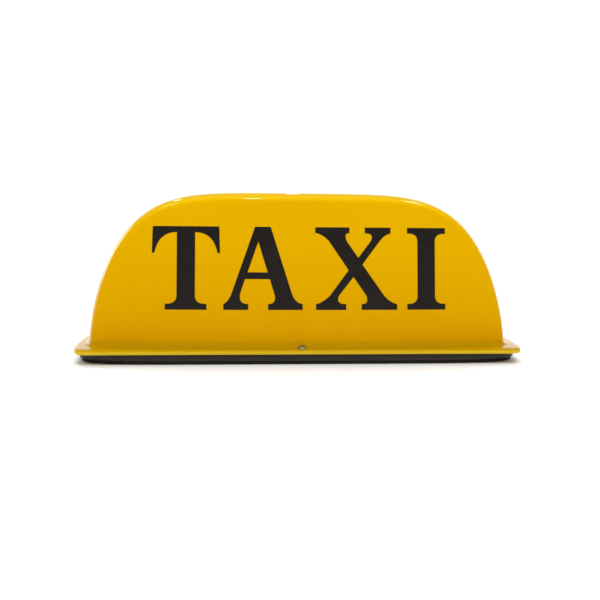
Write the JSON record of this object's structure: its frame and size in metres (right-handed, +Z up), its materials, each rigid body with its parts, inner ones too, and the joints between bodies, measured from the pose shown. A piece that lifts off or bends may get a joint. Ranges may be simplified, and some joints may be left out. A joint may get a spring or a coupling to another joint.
{
  "type": "taxi roof sign",
  "caption": "Magnetic taxi roof sign: a hollow yellow light dome with a flange, lettered on both faces, screwed to a black tray with pot magnets and an LED board.",
  "frame": {"origin": "centre of the bounding box's bottom face: the middle of the underside of the roof pad, which lies on the car roof", "axes": "+X along the sign's length, to the right seen from the front; +Y from the front face to the back face; +Z up"},
  "size_m": [0.36, 0.122, 0.135],
  "materials": {
    "yellow_lens": "glossy translucent moulded plastic",
    "black_vinyl": "satin cut vinyl film",
    "black_abs": "fine-grained moulded ABS",
    "rubber": "matt moulded rubber",
    "screw_steel": "bright zinc-plated steel",
    "cup_steel": "zinc-plated pressed steel",
    "ferrite": "sintered ferrite, dull dark grey",
    "board_green": "solder mask over glass fibre",
    "led_white": "white LED package",
    "chip_black": "chip resistor body",
    "wire_red": "PVC insulation",
    "wire_black": "PVC insulation"
  },
  "bodies": {
    "base": {"base_tray": "black_abs", "seal_gasket": "rubber", "roof_pad": "rubber", "led_board": "board_green", "board_connector": "black_abs", "cable_grommet": "rubber", "lead_red": "wire_red", "lead_black": "wire_black", "magnet_boot_1": "rubber", "magnet_cup_1": "cup_steel", "magnet_ring_1": "ferrite", "magnet_screw_1": "screw_steel", "cover_screw_1": "screw_steel", "board_screw_1": "screw_steel", "magnet_boot_2": "rubber", "magnet_cup_2": "cup_steel", "magnet_ring_2": "ferrite", "magnet_screw_2": "screw_steel", "cover_screw_2": "screw_steel", "board_screw_2": "screw_steel", "magnet_boot_3": "rubber", "magnet_cup_3": "cup_steel", "magnet_ring_3": "ferrite", "magnet_screw_3": "screw_steel", "cover_screw_3": "screw_steel", "board_screw_3": "screw_steel", "magnet_boot_4": "rubber", "magnet_cup_4": "cup_steel", "magnet_ring_4": "ferrite", "magnet_screw_4": "screw_steel", "cover_screw_4": "screw_steel", "board_screw_4": "screw_steel", "led_1": "led_white", "led_2": "led_white", "led_3": "led_white", "led_4": "led_white", "led_5": "led_white", "led_6": "led_white", "led_7": "led_white", "led_8": "led_white", "resistor_1": "chip_black", "resistor_2": "chip_black"},
    "lens": {"lens_shell": "yellow_lens", "front_letter_t": "black_vinyl", "front_letter_a": "black_vinyl", "front_letter_x": "black_vinyl", "front_letter_i": "black_vinyl", "back_letter_t": "black_vinyl", "back_letter_a": "black_vinyl", "back_letter_x": "black_vinyl", "back_letter_i": "black_vinyl", "flange_screw_front": "screw_steel", "flange_screw_back": "screw_steel"}
  },
  "joints": [
    {"name": "lens_lift", "type": "slide", "parent": "base", "child": "lens", "axis": [0, 0, 1], "range_m": [0, 0.1]}
  ]
}
